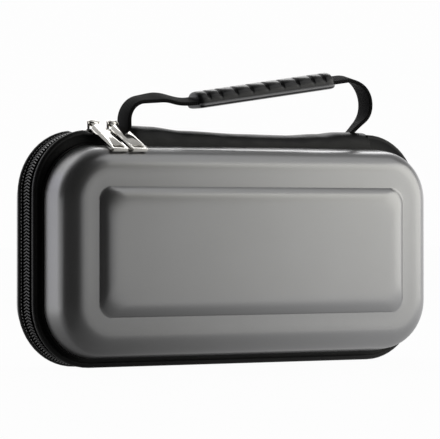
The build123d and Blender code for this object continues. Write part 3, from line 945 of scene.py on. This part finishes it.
finish_piece(bm, "grip_rubber_sleeve", "spine", "grip_rubber", rubber, replaces=["grip_sleeve"], sharp=70)

# %% [markdown]
# ## Sliders and pull tabs
# These are die castings, and the CAD model has their true shape: plates, nose post, bail
# and pin, and a tab with a knuckle and a slot. A casting has no razor edges, though, and the
# thin bright lines on its edges are what makes nickel look like metal. So each piece is a
# copy of the CAD mesh, merged, with its flat faces joined again and its edges bevelled.

# %% Sliders and pull tabs
def softened_copy(node, radius, body):
    """Copy of a CAD node with rounded edges."""
    bm = bmesh.new()
    bm.from_mesh(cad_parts[node].data)
    bmesh.ops.remove_doubles(bm, verts=bm.verts[:], dist=0.002 * MM)
    bmesh.ops.dissolve_limit(bm, angle_limit=math.radians(2), verts=bm.verts[:], edges=bm.edges[:])
    corners = [e for e in bm.edges if e.is_manifold and e.calc_face_angle(0) > math.radians(40)]
    bmesh.ops.bevel(bm, geom=corners, offset=radius, offset_type="OFFSET", segments=2, profile=0.5,
                    affect="EDGES", material=-1, clamp_overlap=True)
    return finish_piece(bm, node + "_casting", body, "nickel", nickel, replaces=[node], sharp=50)


slider_round, tab_round = 0.22 * MM, 0.3 * MM
softened_copy("slider_near", slider_round, "front_lid")
softened_copy("slider_far", slider_round, "front_lid")
softened_copy("pull_tab_near", tab_round, "pull_near")
softened_copy("pull_tab_far", tab_round, "pull_far")

# %% [markdown]
# ## Console bed and its strap
# The console lies on a foam mat covered with tricot. The mat is a stack of rings too: a soft
# edge, a sewn channel that runs round it, and a low crown. An elastic band holds the console
# down, sewn to the binding at both ends. It is a rounded section swept up the case, and it
# narrows a little in the middle, as elastic does when it is pulled.

# %% Console bed
bed_low, bed_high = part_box("console_bed")
bed_inset = (rim_width - (bed_high.x - bed_low.x)) / 2
bed_walk = [(1.2, 0), (0.3, 0.5), (0, 1.3), (0.3, 2.1), (1.4, 2.7), (3.5, 2.9), (5.2, 2.6), (6, 1.9),
            (6.8, 2.6), (9, 3.0), (16, 3.25), (28, 3.4)]
bm = stack([rim_ring(bed_inset + inset * MM, bed_high.y - zip_y - rise * MM, REAR)
            for inset, rise in bed_walk], "caps")
bed = finish_piece(bm, "console_bed_mat", "rear_case", "lining", tricot, replaces=["console_bed"])

# %% Console strap
band_step = 2.5 * MM
band_narrow = 0.08
elastic_edge = 0.5 * MM


def straight_frames(start, forward, across, length, step):
    """Frames along a straight line, with X along it and Y across."""
    turn = Matrix((forward, across, forward.cross(across))).transposed().to_4x4()
    return [Matrix.Translation(start + forward * step * i) @ turn for i in range(round(length / step) + 1)]


band_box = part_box("console_strap")
band_size = band_box[1] - band_box[0]
bm = bmesh.new()
along = bm.verts.layers.float.new("along")
row = section(bm, band_size.x, band_size.y, elastic_edge)
start = Vector((0, (band_box[0].y + band_box[1].y) / 2, band_box[0].z))
frames = straight_frames(start, Vector((0, 0, 1)), Vector((1, 0, 0)), band_size.z, band_step)
sweep(bm, row, frames, band_step, along)
for vert in bm.verts:
    middle = (vert.co.z - band_box[0].z) / band_size.z
    vert.co.x *= 1 - band_narrow * math.sin(math.pi * middle)
finish_piece(bm, "console_elastic_band", "rear_case", "elastic", elastic,
             replaces=["console_strap"], sharp=60)

bm = bmesh.new()
tack = stitch(Vector((2.0, 0.7, 0.5)) * MM)
tack_outer, tack_inner, tack_pitch = 4 * MM, 9 * MM, 3 * MM
for z in (band_box[0].z + tack_outer, band_box[0].z + tack_inner,
          band_box[1].z - tack_inner, band_box[1].z - tack_outer):
    for i in range(-4, 5):
        place_copies(bm, tack, [Matrix.Translation((i * tack_pitch, band_box[0].y, z))
                                @ Matrix.Rotation(math.pi / 2, 4, "X")])
finish_piece(bm, "console_band_stitches", "rear_case", "elastic", dark_thread)

# %% [markdown]
# ## Net pocket
# The lid has a net that holds cables. A grid is turned into diamonds: each square is poked,
# which gives four triangles, and then the old square edges are dissolved. The points are
# moved to the rounded outline of the lid, with a little slack, and each edge becomes a yarn.
# The hem along its top is elastic, gathered in small waves.

# %% Net pocket
net_low, net_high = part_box("mesh_pocket")
net_size = net_high - net_low
net_cell = 2.7 * MM
yarn_width = 0.65 * MM
net_slack = 1.0 * MM
net_corner = rim_corner - shell_wall
bm = bmesh.new()
bmesh.ops.create_grid(bm, x_segments=round(net_size.x / net_cell),
                      y_segments=round(net_size.z / net_cell), size=0.5)
squares = [e for e in bm.edges if not e.is_boundary]
bmesh.ops.poke(bm, faces=bm.faces[:])
bmesh.ops.dissolve_edges(bm, edges=squares, use_verts=False)
for vert in bm.verts:
    u, v = vert.co.x, vert.co.y + 0.5
    drop = max(0.0, net_corner - v * net_size.z)
    half = net_size.x / 2 - net_corner + math.sqrt(net_corner ** 2 - drop ** 2)
    slack = net_slack * math.cos(math.pi * u) * math.sin(math.pi * v)
    vert.co = (2 * u * half, (net_low.y + net_high.y) / 2 - slack, net_low.z + v * net_size.z)
bmesh.ops.wireframe(bm, faces=bm.faces[:], thickness=yarn_width, use_replace=True, use_boundary=True,
                    use_even_offset=True)
net = finish_piece(bm, "lid_net", "front_lid", "mesh", net_yarn, replaces=["mesh_pocket"], sharp=80)

# %% Pocket hem
hem_low, hem_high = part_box("pocket_hem")
hem_size = hem_high - hem_low
hem_step = 0.9 * MM
gather, gather_depth = 4.5 * MM, 0.2 * MM
bm = bmesh.new()
along = bm.verts.layers.float.new("along")
row = section(bm, hem_size.z, hem_size.y - 2 * gather_depth, elastic_edge)
start = Vector((hem_low.x, (hem_low.y + hem_high.y) / 2, (hem_low.z + hem_high.z) / 2))
frames = straight_frames(start, Vector((1, 0, 0)), Vector((0, 0, 1)), hem_size.x, hem_step)
sweep(bm, row, frames, hem_step, along)
for vert in bm.verts:
    vert.co.y += gather_depth * math.sin(2 * math.pi * vert.co.x / gather)
finish_piece(bm, "net_hem", "front_lid", "elastic", elastic, replaces=["pocket_hem"], sharp=60)

# %% [markdown]
# ## Page with card pockets
# A padded page hangs from the spine and keeps the console apart from what is in the lid. Its
# edge is soft and sewn all round. Each face has ten pockets of stretch cloth. One pocket is a
# small stack of rings with a hem on its open edge, and the others are copies of it.

# %% Divider page
page_low, page_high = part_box("divider_page")
page_half = (page_high.y - page_low.y) / 2
page_inset = (rim_width - (page_high.x - page_low.x)) / 2
face_lift = 1.2
face_walk = [(12, face_lift), (6.2, face_lift), (5.4, 0.7), (4.6, face_lift),
             (1.6, 1.15), (0.5, 0.8), (0, 0.3)]
page_walk = [(inset, -lift) for inset, lift in face_walk] + face_walk[::-1]
bm = stack([rim_ring(page_inset + inset * MM, lift / face_lift * page_half, REAR)
            for inset, lift in page_walk], "caps")
neck_size = Vector((spine_right - spine_left - 16 * MM, 2 * page_half - 0.4 * MM, 19 * MM))
neck = bmesh.ops.create_cube(bm, size=1)["verts"]
bmesh.ops.scale(bm, vec=neck_size, verts=neck)
bmesh.ops.translate(bm, verts=neck, vec=(
    (spine_left + spine_right) / 2, zip_y, page_high.z - neck_size.z / 2))
page = finish_piece(bm, "divider_page_pad", "spine", "lining", tricot, replaces=["divider_page"])

# %% Card pockets
pocket_size = (36 * MM, 34 * MM, 2 * MM)
pocket_spacing = 40 * MM
pocket_pitch, pocket_margin = 2.4 * MM, 2.2 * MM
hem_depth, hem_height, hem_round = 1.2 * MM, 3 * MM, 0.4 * MM
pocket_grid = [(column, row) for row in (-0.5, 0.5) for column in range(-2, 3)]


def pocket_shape(side):
    """One pocket at the middle of the page, with a hem along its open edge."""
    walk = [(0, 0.02), (0.2, 0.6), (1.0, 0.9), (4, 1.0)]
    bm = stack([(pocket_size[0] - 2 * inset * MM, pocket_size[1] - 2 * inset * MM, pocket_size[2],
                 zip_y + side * (page_half + lift * MM), rim_z) for inset, lift in walk], "caps")
    hem = bmesh.ops.create_cube(bm, size=1)["verts"]
    bmesh.ops.scale(bm, vec=(pocket_size[0] + 0.2 * MM, hem_depth, hem_height), verts=hem)
    bmesh.ops.translate(bm, verts=hem, vec=(
        0, zip_y + side * (page_half + 0.65 * MM), rim_z + pocket_size[1] / 2 - hem_height / 2))
    edges = list({e for v in hem for e in v.link_edges})
    bmesh.ops.bevel(bm, geom=edges, offset=hem_round, offset_type="OFFSET", segments=2, profile=0.5,
                    affect="EDGES", material=-1)
    return small_shape("pocket", bm)


def pocket_stitches(side):
    """Rows of stitches down the sides and along the foot of one pocket."""
    bm = bmesh.new()
    bead = stitch(Vector((1.6, 0.5, 0.4)) * MM)
    half_width, half_height = (size / 2 - pocket_margin for size in pocket_size[:2])
    y = zip_y + side * (page_half + 0.95 * MM)
    upright = Matrix.Rotation(math.pi / 2, 4, "Y")
    for i in range(12):
        z = rim_z - half_height + i * pocket_pitch
        place_copies(bm, bead, [Matrix.Translation((hand * half_width, y, z)) @ upright
                                for hand in (-1, 1)])
    place_copies(bm, bead, [Matrix.Translation((i * pocket_pitch, y, rim_z - half_height))
                            for i in range(-6, 7)])
    return small_shape("pocket_stitches", bm)


places = [Matrix.Translation((c * pocket_spacing, 0, r * pocket_spacing)) for c, r in pocket_grid]
for name, side in (("front", FRONT), ("rear", REAR)):
    bm = bmesh.new()
    place_copies(bm, pocket_shape(side), places)
    pockets = finish_piece(bm, name + "_card_pocket_cloth", "spine", "pocket_cloth", stretch_cloth,
                           replaces=[name + "_card_pockets"], sharp=60)
    bm = bmesh.new()
    place_copies(bm, pocket_stitches(side), places)
    finish_piece(bm, name + "_card_pocket_stitches", "spine", "pocket_cloth", dark_thread)

# %% [markdown]
# ## Camera
# The photograph was taken from the left, almost level with the middle of the case, with a
# long lens. The place below was solved from the outline of the rims.

# %% Camera
camera_place = Vector((-882.6, -1404.5, 82.0)) * MM
camera_turn = 32
camera_lens = 237.8
camera_data = bpy.data.cameras.new("camera")
camera_data.lens = camera_lens
camera_data.sensor_width = 36
camera_data.sensor_fit = "HORIZONTAL"
camera_data.clip_start = 0.05
camera = bpy.data.objects.new("camera", camera_data)
camera.location = camera_place
camera.rotation_euler = (math.radians(90), 0, math.radians(-camera_turn))
bpy.context.scene.collection.objects.link(camera)
bpy.context.scene.camera = camera
print("camera", round(camera_place.length, 2), "m away, turned", camera_turn, "degrees")

# %% [markdown]
# ## Light and floor
# The case stands on a white sweep in a dim room. The camera sees plain white all round. What
# the surfaces mirror is another matter: the backdrop behind the case is white near the
# ground, the room in front is dim, and the sweep glows with painted light behind the case and
# at its right, and with painted shade at the left front. That contrast draws the shoulders
# and the panel. One large soft box at the right lights the face, one hangs overhead, a cool
# one grazes the left end, and a small one behind is set where the pull tabs and the top of
# the grip mirror it.

# %% World
world = bpy.data.worlds.new("studio")
bpy.context.scene.world = world
world.use_nodes = True
tree = world.node_tree
tree.nodes.clear()
room_level, backdrop_level, seen_level = 0.03, 1.2, 0.985
backdrop_side = (0.4, 1.0, 0.0)
backdrop_top = (0.6, 0.0, 1.0)
backdrop_low, backdrop_high, top_share = 0.62, 0.97, 0.33
side_dark, side_light = -0.15, 0.75
path = add_node(tree, "ShaderNodeLightPath", {})
direction = add_node(tree, "ShaderNodeTexCoord", {}).outputs["Generated"]
facing = add_node(tree, "ShaderNodeVectorMath", {0: direction, 1: backdrop_side}, operation="DOT_PRODUCT")
around = add_node(tree, "ShaderNodeMapRange", {
    "Value": facing.outputs["Value"], "From Min": side_dark, "From Max": side_light},
    interpolation_type="SMOOTHSTEP")
height = add_node(tree, "ShaderNodeVectorMath", {0: direction, 1: backdrop_top}, operation="DOT_PRODUCT")
fade = add_node(tree, "ShaderNodeMapRange", {
    "Value": height.outputs["Value"], "From Min": backdrop_low, "From Max": backdrop_high,
    "To Min": 1.0, "To Max": top_share}, interpolation_type="SMOOTHSTEP")
backdrop = add_node(tree, "ShaderNodeMath", {0: around.outputs["Result"], 1: fade.outputs["Result"]},
                    operation="MULTIPLY")
room = add_node(tree, "ShaderNodeMapRange", {
    "Value": backdrop.outputs[0], "To Min": room_level, "To Max": backdrop_level})
level = add_node(tree, "ShaderNodeMix", {
    "Factor": path.outputs["Is Camera Ray"], "A": room.outputs["Result"], "B": seen_level},
    data_type="FLOAT")
sky = add_node(tree, "ShaderNodeBackground", {
    "Color": linear("#ffffff"), "Strength": level.outputs["Result"]})
add_node(tree, "ShaderNodeOutputWorld", {"Surface": sky.outputs["Background"]})
print("room", room_level, "backdrop", backdrop_level)

# %% Floor
floor_size = 6.0
floor_seen, floor_mirrored = 0.97, (0.05, 0.85)
floor_dark_x, floor_light_x = -0.15, 0.25
floor_back_y = (-0.04, 0.12)
bm = bmesh.new()
bmesh.ops.create_grid(bm, x_segments=1, y_segments=1, size=floor_size)
floor_mesh = bpy.data.meshes.new("floor")
bm.to_mesh(floor_mesh)
bm.free()
floor = bpy.data.objects.new("floor", floor_mesh)
bpy.context.scene.collection.objects.link(floor)
floor_paint, tree, shader = new_material("white_sweep", Roughness=0.9)
shader.inputs["Base Color"].default_value = linear("#f2f2f2")
path = add_node(tree, "ShaderNodeLightPath", {})
shiny = add_node(tree, "ShaderNodeMath", {
    0: path.outputs["Is Glossy Ray"], 1: path.outputs["Is Transmission Ray"]}, operation="MAXIMUM")
either = add_node(tree, "ShaderNodeMath", {
    0: path.outputs["Is Camera Ray"], 1: shiny.outputs[0]}, operation="MAXIMUM")
share = add_node(tree, "ShaderNodeMath", {0: either.outputs[0], 1: floor_seen}, operation="MULTIPLY")
# What glossy rays see of the sweep is painted light and shade: a glow that is bright behind the case and at
# its right, and dim at its left front. Camera rays see it evenly white.
place = add_node(tree, "ShaderNodeSeparateXYZ", {
    "Vector": add_node(tree, "ShaderNodeTexCoord", {}).outputs["Object"]})
falloff = add_node(tree, "ShaderNodeMapRange", {
    "Value": place.outputs["X"], "From Min": floor_dark_x, "From Max": floor_light_x,
    "To Min": floor_mirrored[0], "To Max": floor_mirrored[1]})
behind = add_node(tree, "ShaderNodeMapRange", {
    "Value": place.outputs["Y"], "From Min": floor_back_y[0], "From Max": floor_back_y[1],
    "To Max": floor_mirrored[1]})
painted_glow = add_node(tree, "ShaderNodeMath", {0: falloff.outputs["Result"], 1: behind.outputs["Result"]},
               operation="MAXIMUM")
tone = add_node(tree, "ShaderNodeMix", {
    "Factor": path.outputs["Is Camera Ray"], "A": painted_glow.outputs[0], "B": 1.0}, data_type="FLOAT")
white = add_node(tree, "ShaderNodeEmission", {
    "Color": linear("#ffffff"), "Strength": tone.outputs["Result"]})
surface = add_node(tree, "ShaderNodeMixShader", {
    0: share.outputs[0], 1: shader.outputs["BSDF"], 2: white.outputs["Emission"]})
tree.links.new(surface.outputs["Shader"], tree.nodes["Material Output"].inputs["Surface"])
floor_paint.cycles.emission_sampling = "NONE"
floor_mesh.materials.append(floor_paint)
print("floor", 2 * floor_size, "m wide")

# %% Soft boxes
def softbox(name, place, size, power, colour):
    """Area lamp at a place, facing the middle of the case."""
    data = bpy.data.lights.new(name, "AREA")
    data.shape = "RECTANGLE"
    data.size, data.size_y = size
    data.energy = power
    data.color = linear(colour)[:3]
    lamp = bpy.data.objects.new(name, data)
    lamp.location = place
    aim = Vector((0, zip_y, rim_z)) - Vector(place)
    lamp.rotation_euler = aim.to_track_quat("-Z", "Y").to_euler()
    bpy.context.scene.collection.objects.link(lamp)


softbox("right_key", (1.10, -0.69, 0.35), (1.2, 1.0), 6.0, "#fffef8")
softbox("overhead", (0.62, -0.52, 0.98), (0.8, 0.8), 1.4, "#ffffff")
softbox("left_rim", (-0.62, 0.75, 0.25), (0.5, 0.8), 0.25, "#d0ceff")
softbox("tab_light", (0.47, 0.57, 0.68), (0.5, 0.35), 1.2, "#ffffff")
bpy.context.scene.view_settings.view_transform = "Standard"
print("lit by four soft boxes")
